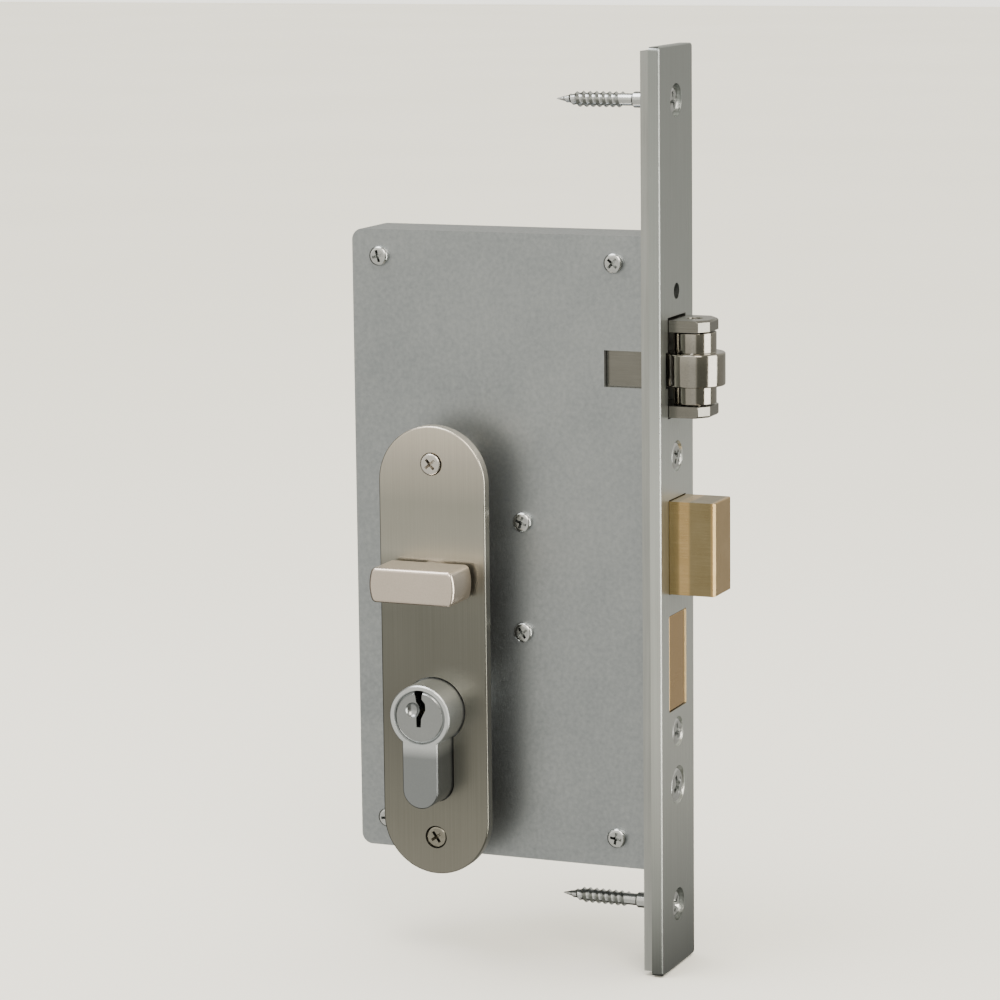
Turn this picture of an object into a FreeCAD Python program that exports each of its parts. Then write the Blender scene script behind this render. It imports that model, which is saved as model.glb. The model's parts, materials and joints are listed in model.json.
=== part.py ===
import FreeCAD, Part
import math
import os

# Mortise lock set for a hinged door, in millimetres.
# X = 0 is the faceplate's outer face, -X runs into the door, Y = 0 is the middle of the door,
# Z = 0 is the key cylinder's axis and +Z is up.

# door and lock body
DOOR = 39.0                 # door thickness
BACKSET = 60.0              # faceplate to the axis of the cylinder and of the turn
CENTRES = 35.3              # cylinder axis to turn axis
PLATE_W, PLATE_T = 25.0, 3.0
PLATE_TOP, PLATE_BOTTOM = 173.5, -69.5
FOREND_T = 2.5              # inner forend behind the faceplate
SHEET = 1.5                 # case sheet
CAVITY = 6.7                # half of the space inside the case
CASE_BACK, CASE_TOP, CASE_BOTTOM = -88.0, 125.0, -42.0
GAP = 0.25                  # working gap round a bolt
FORK = 0.06                 # running gap of a shaft in its hole

# bolts
THROW = 12.6
BOLT_T = 12.7
UPPER_Z, UPPER_H = 44.05, 24.5
LOWER_Z, LOWER_H = 13.1, 25.2
TAIL_T = 4.0
CRANK_R = 8.91              # turn hub's axis to the centre of its nose
CAM_R = 12.8                # cylinder axis to the centre of the cam's nose
NOSE_R = 2.5
CRANK_SWING = 45.0          # each side of upright
CAM_SWING = 29.5
NOTCH_HALF = 3.4
GUIDE_R = 2.5               # case pillars
RIVET_R = 1.5
SLOT_DEPTH = 12.0           # how deep a tail sits in its bolt

# roller bolt
ROLLER_X, ROLLER_Z = 5.0, 90.85
ROLLER_R, ROLLER_SHOULDER_R = 7.9, 5.6
ROLLER_BAND = (86.2, 94.8)
ROLLER_ENDS = (81.5, 100.1)
CARRIAGE = (78.2, 103.5)
CHEEK_T = (3.0, 3.1)
AXLE_R = 2.0
CARRIAGE_HALF = 6.4
OPENING_GAP = 0.4           # round the carriage and the roller

# cylinder: euro profile 33 x 17 x 10
CYL_HALF = 32.5
CYL_R, CYL_TAIL_W, CYL_TAIL = 8.5, 10.0, -24.5
CAM_GAP = 5.3
PLUG_R = 6.95
FIXING_Z = -20.5
PIN_Y = [9.0 + 4.2 * i for i in range(5)]
CHAMBER_R = 1.45
RING_GROOVE = (4.45, 5.25)  # the groove at each plug's inner end, for its ring
RING_GROOVE_R, RING_R = 6.2, 7.8

# escutcheons
ESC_W, ESC_H, ESC_T = 30.0, 120.0, 3.0
ESC_Z = 15.5
ESC_SCREW = 50.0            # each screw from the plate's middle
FACE = DOOR / 2

# turn
TURN_D, TURN_T = 24.0, 9.2
TURN_FRONT, TURN_BACK = -36.7, -24.6
NECK_R = 4.5
SQUARE = 5.0
NECK_END = -19.1
CLIP = (-20.5, -19.8)       # the turn's clip, in the counterbore behind the front escutcheon
CLIP_R, CLIP_OUT = 3.85, 6.2

# screws: head radius, shank radius and length
HEAD_RIM = 0.35
WOOD_Z = (159.4, -52.8)
WOOD_HEAD_R, WOOD_SHANK_R, WOOD_LENGTH, WOOD_POINT, WOOD_SINK = 3.9, 2.1, 32.0, 6.0, 0.7
M4_Z = (67.3, -6.0)
M4_HEAD_R, M4_SHANK_R, M4_LENGTH, M4_SINK = 3.8, 2.0, 12.0, 0.1
M5_HEAD_R, M5_SHANK_R, M5_LENGTH, M5_SINK = 4.8, 2.5, 64.0, 0.15
ESC_HEAD_R, ESC_SHANK_R, ESC_LENGTH = 2.85, 1.97, 27.0
ESC_PROUD = {1: 0.8, -1: -0.2}      # the upper head stands a little proud, the lower one is sunk
COVER_HEAD_R, COVER_HEAD_H, COVER_SHANK_R = 2.7, 1.7, 1.5
ADJUST_Z = 110.4

V = FreeCAD.Vector
INWARD = V(-1, 0, 0)


def box(x0, x1, y0, y1, z0, z1):
    return Part.makeBox(x1 - x0, y1 - y0, z1 - z0, V(x0, y0, z0))


def rod(radius, start, end):
    a, b = V(*start), V(*end)
    return Part.makeCylinder(radius, (b - a).Length, a, b - a)


def cone(r0, r1, start, end):
    a, b = V(*start), V(*end)
    return Part.makeCone(r0, r1, (b - a).Length, a, b - a)


def prism_y(points, y0, y1):
    """A straight-sided outline in X and Z, from y0 to y1."""
    ring = [V(x, y0, z) for x, z in points]
    return Part.Face(Part.makePolygon(ring + ring[:1])).extrude(V(0, y1 - y0, 0))


def slot_y(x0, x1, z, half, y0, y1):
    """A slot along X with round ends whose centres are x0 and x1."""
    body = box(x0, x1, y0, y1, z - half, z + half)
    return body.fuse([rod(half, (x, y0, z), (x, y1, z)) for x in (x0, x1)]).removeSplitter()


def rounded_slot_x(half_w, z0, z1, x0, x1, corner):
    """A rectangular opening through the faceplate with rounded corners."""
    shape = box(x0, x1, -half_w, half_w, z0, z1)
    edges = [e for e in shape.Edges if abs(e.BoundBox.XLength - (x1 - x0)) < 1e-6]
    return shape.makeFillet(corner, edges)


def euro_profile(y0, y1, grow=0.0):
    """The cylinder's outline, grown by a gap."""
    half = CYL_TAIL_W / 2 + grow
    low = CYL_TAIL - grow + half
    barrel = rod(CYL_R + grow, (-BACKSET, y0, 0), (-BACKSET, y1, 0))
    web = box(-BACKSET - half, -BACKSET + half, y0, y1, low, 0)
    foot = rod(half, (-BACKSET, y0, low), (-BACKSET, y1, low))
    return barrel.fuse([web, foot]).removeSplitter()


def edges_along(shape, axis, where):
    """Straight edges along one axis that pass a test of their middle point."""
    found = []
    for e in shape.Edges:
        bounds = e.BoundBox
        size = {"x": bounds.XLength, "y": bounds.YLength, "z": bounds.ZLength}
        length = size.pop(axis)
        if length > 1e-6 and max(size.values()) < 1e-6 and where(e.CenterOfMass):
            found.append(e)
    return found


def export(name, *solids):
    shape = solids[0] if len(solids) == 1 else Part.makeCompound(list(solids))
    for s in shape.Solids:
        assert s.isValid(), name
    shape.exportStep("parts/" + name + ".step")
    print(name, len(shape.Solids), round(shape.Volume, 1))


# ---- screws -----------------------------------------------------------------

def cross_recess(head, inward, width, reach, depth):
    """A cross-shaped recess cut at head, along inward, tapering to its bottom."""
    up = V(0, 0, 1)
    side = inward.cross(up)
    arms = []
    for turn in (0, 90):
        outer = []
        for level, scale in ((-0.05, 1.0), (depth, 0.35)):
            half_l, half_w = reach * scale, width / 2 * (1.0 if level < 0 else 0.75)
            ring = []
            for a, b in ((-1, -1), (1, -1), (1, 1), (-1, 1)):
                across, along = (a * half_w, b * half_l) if turn else (a * half_l, b * half_w)
                ring.append(head + inward * level + side * across + up * along)
            outer.append(Part.makePolygon(ring + ring[:1]))
        arms.append(Part.makeLoft(outer, True))
    return arms[0].fuse(arms[1])


def countersunk_screw(head, inward, shank_r, head_r, length, point=0.0):
    """A cross-recess screw: flat rim, 90 degree head, straight shank, optional point."""
    cone_h = head_r - shank_r
    far = head + inward * (length - point)
    rim = head + inward * HEAD_RIM
    neck = rim + inward * cone_h
    parts = [cone(head_r, shank_r, rim, neck), rod(shank_r, neck, far)]
    if point:
        parts.append(cone(shank_r, 0.3, far, far + inward * point))
    body = rod(head_r, head, rim).fuse(parts).removeSplitter()
    return body.cut(cross_recess(head, inward, head_r * 0.27, head_r * 0.62, cone_h * 0.8))


# ---- faceplate and forend -----------------------------------------------------

def roller_opening(x0, x1, grow=0.0):
    """The opening for the roller carriage, wider where the roller passes."""
    side = OPENING_GAP + grow
    tall = box(x0, x1, -CARRIAGE_HALF - side, CARRIAGE_HALF + side,
               CARRIAGE[0] - side, CARRIAGE[1] + side + 0.15)
    wide = box(x0, x1, -ROLLER_R - side + 0.05, ROLLER_R + side - 0.05,
               ROLLER_BAND[0] - side, ROLLER_BAND[1] + side)
    return tall.fuse(wide).removeSplitter()


def bolt_openings(x0, x1, grow=0.0):
    """The openings for both bolts."""
    half = BOLT_T / 2 + GAP + grow
    made = []
    for middle, height in ((UPPER_Z, UPPER_H), (LOWER_Z, LOWER_H)):
        z0, z1 = middle - height / 2 - GAP - grow, middle + height / 2 + GAP + grow
        made.append(rounded_slot_x(half, z0, z1, x0, x1, 0.5))
    return made


def faceplate():
    plate = box(-PLATE_T, 0, -PLATE_W / 2, PLATE_W / 2, PLATE_BOTTOM, PLATE_TOP)
    plate = plate.makeFillet(1.0, edges_along(plate, "x", lambda p: True))
    rim = [e for e in plate.Edges if abs(e.BoundBox.XMax) < 1e-6 and e.BoundBox.XLength < 1e-6]
    plate = plate.makeChamfer(0.25, rim)
    cuts = [roller_opening(-4, 1)] + bolt_openings(-4, 1)
    for z in WOOD_Z:
        cuts += countersink(z, WOOD_HEAD_R + 0.45, 2.5, WOOD_SINK + 0.35)
    for z in M4_Z:
        cuts += countersink(z, M4_HEAD_R + 0.25, 2.15)
    cuts += countersink(FIXING_Z, M5_HEAD_R + 0.4, 2.75)
    cuts.append(rod(2.1, V(1, 0, ADJUST_Z), V(-4, 0, ADJUST_Z)))
    return plate.cut(cuts)


def countersink(z, head_r, hole_r, rim=0.45):
    """A countersunk hole through the faceplate at height z."""
    neck = -(rim + head_r - hole_r)
    return [rod(head_r, V(1, 0, z), V(-rim, 0, z)), cone(head_r, hole_r, V(-rim, 0, z), V(neck, 0, z)),
            rod(hole_r, V(1, 0, z), V(-4, 0, z))]


FOREND_BACK = -PLATE_T - FOREND_T


def inner_forend():
    x0, x1 = FOREND_BACK, -PLATE_T
    plate = box(x0, x1, -PLATE_W / 2 + 1, PLATE_W / 2 - 1, PLATE_BOTTOM + 1, PLATE_TOP - 1)
    cuts = [roller_opening(x0 - 1, x1 + 1, 0.1)] + bolt_openings(x0 - 1, x1 + 1, 0.1)
    tapped = M4_SHANK_R + FORK
    for z, r in ((WOOD_Z[0], 2.4), (WOOD_Z[1], 2.4), (M4_Z[0], tapped), (M4_Z[1], tapped),
                 (FIXING_Z, 2.75), (ADJUST_Z, 2.3)):
        cuts.append(rod(r, V(x0 - 1, 0, z), V(x1 + 1, 0, z)))
    return plate.cut(cuts)


def faceplate_screws():
    """The wood screws, the two short screws that hold the faceplate, and the long cylinder screw."""
    short = [countersunk_screw(V(-M4_SINK, 0, z), INWARD, M4_SHANK_R, M4_HEAD_R, M4_LENGTH) for z in M4_Z]
    wood = [countersunk_screw(V(-WOOD_SINK, 0, z), INWARD, WOOD_SHANK_R, WOOD_HEAD_R, WOOD_LENGTH, WOOD_POINT)
            for z in WOOD_Z]
    long = countersunk_screw(V(-M5_SINK, 0, FIXING_Z), INWARD, M5_SHANK_R, M5_HEAD_R, M5_LENGTH)
    export("faceplate_screws", *short)
    export("wood_screws", *wood)
    export("cylinder_screw", long)


# ---- case -------------------------------------------------------------------------

PILLARS = [(-40.0, 49.0), (-40.0, 19.5), (-14.0, 118.0), (-80.0, 118.0), (-80.0, -34.0), (-14.0, -34.0)]
POST_R = 4.0
HUB_R, JOURNAL_R = 6.0, 5.2


def passages(y0, y1):
    """What goes through the two large sides of the case."""
    journal = rod(JOURNAL_R + FORK, (-BACKSET, y0, CENTRES), (-BACKSET, y1, CENTRES))
    made = [euro_profile(y0, y1, 0.35), journal]
    for sign in (1, -1):
        z = ESC_Z + sign * ESC_SCREW
        made.append(rod(POST_R + 0.5, (-BACKSET, y0, z), (-BACKSET, y1, z)))
    made.append(box(-17, FOREND_BACK, y0, y1, ROLLER_BAND[0] - 0.5, ROLLER_BAND[1] + 0.5))
    return made


def case_tray():
    """The case's rear sheet with its bent-up walls."""
    outer = box(CASE_BACK, FOREND_BACK, -CAVITY, CAVITY + SHEET, CASE_BOTTOM, CASE_TOP)
    outer = outer.makeFillet(3.0, edges_along(outer, "y", lambda p: p.x < -50))
    inner = box(CASE_BACK + SHEET, FOREND_BACK - SHEET, -CAVITY - 1, CAVITY,
                CASE_BOTTOM + SHEET, CASE_TOP - SHEET)
    inner = inner.makeFillet(1.5, edges_along(inner, "y", lambda p: p.x < -50))
    tray = outer.cut(inner)
    x0, x1 = FOREND_BACK - SHEET - 1, FOREND_BACK + 1
    cuts = passages(CAVITY - 0.1, CAVITY + SHEET + 1)
    cuts += [roller_opening(x0, x1, 0.1)] + bolt_openings(x0, x1, 0.1)
    for z, r in ((M4_Z[0], 2.3), (M4_Z[1], 2.3), (FIXING_Z, 2.9), (ADJUST_Z, 2.3)):
        cuts.append(rod(r, V(x0, 0, z), V(x1, 0, z)))
    return tray.cut(cuts)


def case_cover():
    """The flat front sheet, held by six screws."""
    y0, y1 = -CAVITY - SHEET, -CAVITY
    plate = box(CASE_BACK, FOREND_BACK, y0, y1, CASE_BOTTOM, CASE_TOP)
    plate = plate.makeFillet(3.0, edges_along(plate, "y", lambda p: p.x < -50))
    cuts = passages(y0 - 1, y1 + 0.1)
    cuts += [rod(1.7, (x, y0 - 1, z), (x, y1 + 1, z)) for x, z in PILLARS]
    return plate.cut(cuts)


def case_pillars():
    made = []
    for x, z in PILLARS:
        post = rod(GUIDE_R, (x, -CAVITY, z), (x, CAVITY, z))
        made.append(post.cut(rod(COVER_SHANK_R + 0.02, (x, -CAVITY - 1, z), (x, 3.0, z))))
    return made


def cover_screws():
    """Pan-head screws through the cover into the pillars."""
    made = []
    seat = -CAVITY - SHEET
    top = seat - COVER_HEAD_H
    for x, z in PILLARS:
        dome = rod(COVER_HEAD_R, (x, top, z), (x, seat, z))
        rim = [e for e in dome.Edges if abs(e.BoundBox.YMin - top) < 1e-3 and e.BoundBox.YLength < 1e-3]
        screw = dome.makeFillet(0.8, rim).fuse(rod(COVER_SHANK_R, (x, seat, z), (x, 1.0, z)))
        made.append(screw.cut(cross_recess(V(x, top, z), V(0, 1, 0), 0.8, 1.6, 1.1)))
    return made


# ---- bolts -----------------------------------------------------------------------

def bolt_head(back, front, middle, height, tail_z):
    """A solid bolt with a slot in its back for the tail, and two rivet holes."""
    half = BOLT_T / 2
    z0, z1 = middle - height / 2, middle + height / 2
    head = box(back, front, -half, half, z0, z1)
    head = head.makeChamfer(0.6, edges_along(head, "z", lambda p: p.x > front - 0.1))
    ends = [e for e in head.Edges if abs(e.BoundBox.XMin - front) < 1e-6 and e.BoundBox.ZLength < 1e-6]
    head = head.makeFillet(0.3, ends)
    slot = box(back - 1, back + SLOT_DEPTH, -TAIL_T / 2, TAIL_T / 2, tail_z[0], tail_z[1])
    return head.cut([slot] + rivet_rods(back, tail_z, half + 1))


def rivet_rods(back, tail_z, half):
    x = back + SLOT_DEPTH / 2
    return [rod(RIVET_R, (x, -half, z), (x, half, z)) for z in (tail_z[0] + 3.0, tail_z[1] - 3.0)]


def bolt_tail(back, rear, tail_z, notch_x, notch_top, guide):
    """The flat steel tail: driven at its notch and guided on a case pillar."""
    plate = box(rear, back + SLOT_DEPTH, -TAIL_T / 2, TAIL_T / 2, tail_z[0], tail_z[1])
    notch = box(notch_x - NOTCH_HALF, notch_x + NOTCH_HALF, -3, 3, tail_z[0] - 1, notch_top - 1)
    crown = box(notch_x - NOTCH_HALF, notch_x + NOTCH_HALF, -3, 3, notch_top - 1.5, notch_top)
    crown = crown.makeFillet(1.0, edges_along(crown, "y", lambda p: p.z > notch_top - 0.1))
    x0, x1, z = guide
    cuts = [notch, crown, slot_y(x0, x1, z, GUIDE_R + 0.3, -3, 3)]
    return plate.cut(cuts + rivet_rods(back, tail_z, 3))


UPPER_BACK, UPPER_TAIL = -20.0, (CENTRES + HUB_R + 0.6, 54.0)
LOWER_BACK, LOWER_TAIL = -30.0, (11.0, 24.0)
UPPER_STEP = CRANK_R * math.sin(math.radians(CRANK_SWING))
LOWER_STEP = CAM_R * math.sin(math.radians(CAM_SWING))


def upper_bolt():
    head = bolt_head(UPPER_BACK, THROW, UPPER_Z, UPPER_H, UPPER_TAIL)
    x, z = PILLARS[0]
    tail = bolt_tail(UPPER_BACK, -71.0, UPPER_TAIL, -BACKSET + UPPER_STEP,
                     CENTRES + CRANK_R + NOSE_R + 0.7, (x, x + THROW, z))
    export("upper_bolt", head)
    export("upper_bolt_tail", tail)
    export("upper_bolt_rivets", *rivet_rods(UPPER_BACK, UPPER_TAIL, BOLT_T / 2 - 0.1))


def lower_bolt():
    head = bolt_head(LOWER_BACK, -0.2, LOWER_Z, LOWER_H, LOWER_TAIL)
    x, z = PILLARS[1]
    tail = bolt_tail(LOWER_BACK, -72.0, LOWER_TAIL, -BACKSET - LOWER_STEP,
                     CAM_R + NOSE_R + 0.7, (x - THROW, x, z))
    export("lower_bolt", head)
    export("lower_bolt_tail", tail)
    export("lower_bolt_rivets", *rivet_rods(LOWER_BACK, LOWER_TAIL, BOLT_T / 2 - 0.1))


def tail_spring():
    """A spring strip fixed to the tray; it lies over the upper tail and keeps it from rattling."""
    z = UPPER_TAIL[1] + 0.5
    strip = box(-66, -36, -2.5, 2.5, z, z + 0.6)
    rest = box(-38, -36, -2.5, 2.5, z, z + 6)
    foot = box(-38, -36, 2.4, CAVITY, z, z + 6)
    return strip.fuse([rest, foot]).removeSplitter()


# ---- turn ---------------------------------------------------------------------------

def turned(shape, degrees, z):
    shape.rotate(V(-BACKSET, 0, z), V(0, 1, 0), degrees)
    return shape


def arm(nose_r, reach, z, half_t):
    """A round-nosed arm that points up from an axis at height z."""
    neck = box(-BACKSET - 2.0, -BACKSET + 2.0, -half_t, half_t, z, z + reach)
    nose = rod(nose_r, (-BACKSET, -half_t, z + reach), (-BACKSET, half_t, z + reach))
    return neck.fuse(nose)


def hub():
    barrel = rod(HUB_R, (-BACKSET, -6.3, CENTRES), (-BACKSET, 6.3, CENTRES))
    axle = rod(JOURNAL_R, (-BACKSET, -8.6, CENTRES), (-BACKSET, 8.6, CENTRES))
    crank = turned(arm(NOSE_R, CRANK_R, CENTRES, 2.4), CRANK_SWING, CENTRES)
    body = barrel.fuse([axle, crank]).removeSplitter()
    half = SQUARE / 2 + 0.05
    return body.cut(box(-BACKSET - half, -BACKSET + half, -10, 10, CENTRES - half, CENTRES + half))


def turn_knob():
    x, z = -BACKSET, CENTRES
    bar = rod(TURN_D / 2, (x, TURN_FRONT, z), (x, TURN_BACK, z))
    bar = bar.common(box(x - 20, x + 20, TURN_FRONT - 1, TURN_BACK + 1, z - TURN_T / 2, z + TURN_T / 2))
    bar = bar.makeFillet(1.5, edges_along(bar, "y", lambda p: True))
    front = [e for e in bar.Edges if e.BoundBox.YMax < TURN_FRONT + 1e-6]
    bar = bar.makeFillet(0.9, front)
    back = [e for e in bar.Edges if e.BoundBox.YMin > TURN_BACK - 1e-6]
    bar = bar.makeFillet(0.4, back)
    neck = rod(NECK_R, (x, TURN_BACK - 1, z), (x, NECK_END, z))
    ring = rod(NECK_R + 1, (x, CLIP[0] - 0.05, z), (x, CLIP[1] + 0.05, z))
    groove = ring.cut(rod(CLIP_R - 0.05, (x, CLIP[0] - 1, z), (x, CLIP[1] + 1, z)))
    half = SQUARE / 2 + 0.05
    hole = box(x - half, x + half, -27.0, -10, z - half, z + half)
    return bar.fuse(neck).removeSplitter().cut([groove, hole])


def turn_clip():
    x, z = -BACKSET, CENTRES
    ring = rod(CLIP_OUT, (x, CLIP[0], z), (x, CLIP[1], z))
    bore = rod(CLIP_R, (x, CLIP[0] - 1, z), (x, CLIP[1] + 1, z))
    return ring.cut([bore, box(x - 1.5, x + 1.5, CLIP[0] - 1, CLIP[1] + 1, z - 8, z)])


def spindle():
    half = SQUARE / 2
    return box(-BACKSET - half, -BACKSET + half, -26.5, 8.4, CENTRES - half, CENTRES + half)


# ---- roller bolt ---------------------------------------------------------------------

CARRIAGE_BACK = -26.0
SPRING_R, SPRING_WIRE = 3.9, 0.6
SPRING_BACK = -48.0
GUIDE_ROD_R = 2.0


def cheek(z0, z1, outer_z):
    """One end of the carriage, pointed in plan so that the strike pushes it in."""
    half = CARRIAGE_HALF
    ring = [(-12, -half), (8.0, -half), (10.3, -3.4), (10.3, 3.4), (8.0, half), (-12, half)]
    points = [V(x, y, z0) for x, y in ring]
    body = Part.Face(Part.makePolygon(points + points[:1])).extrude(V(0, 0, z1 - z0))
    rim = [e for e in body.Edges if abs(e.CenterOfMass.z - outer_z) < 1e-6 and e.BoundBox.XMax > 8.1]
    return body.makeChamfer(0.5, rim)


def roller_carriage():
    z0, z1 = CARRIAGE
    block = box(CARRIAGE_BACK, -4.5, -CARRIAGE_HALF, CARRIAGE_HALF, z0, z1)
    room = rod(ROLLER_R + 0.5, (ROLLER_X, 0, z0 + CHEEK_T[0]), (ROLLER_X, 0, z1 - CHEEK_T[1]))
    body = block.fuse([cheek(z0, z0 + CHEEK_T[0], z0), cheek(z1 - CHEEK_T[1], z1, z1)]).removeSplitter()
    hole = rod(AXLE_R, (ROLLER_X, 0, z0 - 1), (ROLLER_X, 0, z1 + 1))
    socket = rod(GUIDE_ROD_R, (CARRIAGE_BACK - 1, 0, ROLLER_Z), (CARRIAGE_BACK + 8, 0, ROLLER_Z))
    return body.cut([room, hole, socket])


def roller():
    band = rod(ROLLER_R, (ROLLER_X, 0, ROLLER_BAND[0]), (ROLLER_X, 0, ROLLER_BAND[1]))
    rims = [e for e in band.Edges if e.BoundBox.ZLength < 1e-6]
    band = band.makeChamfer(0.4, rims)
    ends = rod(ROLLER_SHOULDER_R, (ROLLER_X, 0, ROLLER_ENDS[0]), (ROLLER_X, 0, ROLLER_ENDS[1]))
    bore = rod(AXLE_R + FORK, (ROLLER_X, 0, ROLLER_ENDS[0] - 1), (ROLLER_X, 0, ROLLER_ENDS[1] + 1))
    return band.fuse(ends).removeSplitter().cut(bore)


def roller_axle():
    return rod(AXLE_R, (ROLLER_X, 0, CARRIAGE[0] + 0.3), (ROLLER_X, 0, CARRIAGE[1] - 0.3))


def guide_rod():
    return rod(GUIDE_ROD_R, (CARRIAGE_BACK + 8, 0, ROLLER_Z), (-64.0, 0, ROLLER_Z))


def spring_stop():
    """The fixed block behind the roller spring; the guide rod slides through it."""
    x0, x1 = SPRING_BACK - 5, SPRING_BACK
    block = box(x0, x1, -CAVITY + 0.1, CAVITY, ROLLER_Z - 6, ROLLER_Z + 6)
    return block.cut(rod(GUIDE_ROD_R + FORK, (x0 - 1, 0, ROLLER_Z), (x1 + 1, 0, ROLLER_Z)))


def coil(radius, wire, length, turns, start, direction):
    """An open coil spring with its first and last turn inside the stated length."""
    pitch = (length - 2 * wire) / turns
    path = Part.makeHelix(pitch, pitch * turns, radius)
    profile = Part.Wire([Part.makeCircle(wire, V(radius, 0, 0), V(0, 1, 0))])
    spring = Part.Wire(path.Edges).makePipeShell([profile], True, True)
    spring.translate(V(0, 0, wire))
    spring.Placement = FreeCAD.Placement(V(*start), FreeCAD.Rotation(V(0, 0, 1), V(*direction))).multiply(
        spring.Placement)
    return spring


def adjusting_block():
    block = box(-24, -16, -5, CAVITY, ADJUST_Z - 4.5, ADJUST_Z + 4.5)
    return block.cut(rod(2.0, V(-25, 0, ADJUST_Z), V(-15, 0, ADJUST_Z)))


def adjusting_screw():
    screw = rod(2.0, V(-8.5, 0, ADJUST_Z), V(-30, 0, ADJUST_Z))
    return screw.cut(box(-9.6, -8, -3, 3, ADJUST_Z - 0.4, ADJUST_Z + 0.4))


# ---- key cylinder ----------------------------------------------------------------------

def at_axis(y):
    return (-BACKSET, y, 0)


def cylinder_body():
    body = euro_profile(-CYL_HALF, CYL_HALF)
    rims = [e for e in body.Edges if e.BoundBox.YLength < 1e-6]
    body = body.makeChamfer(0.3, rims)
    cuts = [rod(PLUG_R + FORK, at_axis(-CYL_HALF - 1), at_axis(CYL_HALF + 1)),
            box(-BACKSET - 10, -BACKSET + 10, -CAM_GAP, CAM_GAP, -16.2, 10),
            rod(M5_SHANK_R + 0.03, V(-BACKSET - 10, 0, FIXING_Z), V(-BACKSET + 10, 0, FIXING_Z))]
    for side in (-1, 1):
        mouth = side * CYL_HALF
        cuts.append(cone(PLUG_R + 0.32, PLUG_R + FORK, at_axis(mouth), at_axis(mouth - side * 0.5)))
        for y in PIN_Y:
            cuts.append(rod(CHAMBER_R, (-BACKSET, side * y, -6), (-BACKSET, side * y, CYL_TAIL - 1)))
    return body.cut(cuts)


KEYWAY = [(-1.8, 7.4), (1.3, 7.4), (0.8, 5.9), (0.75, 4.9), (1.7, 3.8), (1.8, 2.1), (1.15, 0.9),
          (0.55, -0.3), (0.4, -2.6), (-0.8, -2.6), (-0.85, -0.1), (-0.45, 0.8), (0.05, 1.9), (0.05, 3.0),
          (-0.85, 4.2), (-1.05, 5.7)]


def plug(side):
    """One plug, with its keyway and pin bores; side is -1 at the front and 1 at the rear."""
    face, inner = side * CYL_HALF, side * 4.4
    body = rod(PLUG_R, at_axis(face), at_axis(inner))
    rim = [e for e in body.Edges if abs(e.CenterOfMass.y - face) < 1e-3 and e.BoundBox.YLength < 1e-3]
    body = body.makeChamfer(0.55, rim)
    points = [(-BACKSET - side * x, z) for x, z in KEYWAY]
    y0, y1 = sorted((face + side, side * 7.5))
    keyway = prism_y(points, y0, y1)
    throat = Part.makeSphere(2.4, V(-BACKSET + side * 1.75, face + side * 1.2, 1.9))
    near, far = (side * y for y in RING_GROOVE)
    groove = rod(PLUG_R + 1, at_axis(far), at_axis(near))
    groove = groove.cut(rod(RING_GROOVE_R, at_axis(side * 6), at_axis(side * 4)))
    cuts = [keyway, throat, groove]
    for y in PIN_Y:
        cuts.append(rod(CHAMBER_R - 0.05, (-BACKSET, side * y, -8), (-BACKSET, side * y, -2.0)))
    return body.cut(cuts)


def circlip(side):
    near, far = RING_GROOVE[0] + 0.05, RING_GROOVE[1] - 0.05
    ring = rod(RING_R, at_axis(side * far), at_axis(side * near))
    ring = ring.cut(rod(RING_GROOVE_R + 0.02, at_axis(side * 6), at_axis(side * 4)))
    return ring.cut(box(-BACKSET - 2, -BACKSET + 2, -6, 6, 0, 9))


def cylinder_cam():
    ring = rod(8.25, at_axis(-4.3), at_axis(4.3))
    tongue = box(-BACKSET - NOSE_R, -BACKSET + NOSE_R, -4.3, 4.3, 0, CAM_R)
    nose = rod(NOSE_R, (-BACKSET, -4.3, CAM_R), (-BACKSET, 4.3, CAM_R))
    body = ring.fuse([tongue, nose]).removeSplitter().cut(rod(5.0, at_axis(-6), at_axis(6)))
    return turned(body, -CAM_SWING, 0)


def cam_clutch():
    return rod(4.95, at_axis(-4.0), at_axis(4.0)).cut(box(-BACKSET - 1.0, -BACKSET + 1.0, -5, 5, -6, 2.5))


def pins():
    """Driver pins, key pins, springs and chamber stoppers, with the stacks split at the plug's surface."""
    drivers, springs, stoppers, keys = [], [], [], {-1: [], 1: []}
    for side in (-1, 1):
        for i, y in enumerate(PIN_Y):
            x, yy = -BACKSET, side * y
            drivers.append(rod(CHAMBER_R - 0.07, (x, yy, -12.2), (x, yy, -7.25)))
            stoppers.append(rod(CHAMBER_R - 0.02, (x, yy, -24.1), (x, yy, -22.6)))
            springs.append(coil(1.0, 0.22, 10.0, 6, (x, yy, -22.4), (0, 0, 1)))
            length = 3.0 + 0.35 * ((i * 2) % 5)
            keys[side].append(rod(CHAMBER_R - 0.12, (x, yy, -6.7), (x, yy, -6.7 + length)))
    export("driver_pins", *drivers)
    export("chamber_stoppers", *stoppers)
    export("pin_springs", *springs)
    export("front_key_pins", *keys[-1])
    export("rear_key_pins", *keys[1])


# ---- escutcheons --------------------------------------------------------------------------

def escutcheon_blank(y0, y1, front):
    half = ESC_W / 2
    span = ESC_H / 2 - half
    plate = box(-BACKSET - half, -BACKSET + half, y0, y1, ESC_Z - span, ESC_Z + span)
    ends = [rod(half, (-BACKSET, y0, ESC_Z + s * span), (-BACKSET, y1, ESC_Z + s * span)) for s in (-1, 1)]
    plate = plate.fuse(ends).removeSplitter()
    rim = [e for e in plate.Edges if abs(e.CenterOfMass.y - front) < 1e-6 and e.BoundBox.YLength < 1e-6]
    plate = plate.makeFillet(0.5, rim)
    return plate.cut(euro_profile(y0 - 1, y1 + 1, 0.35))


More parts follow.
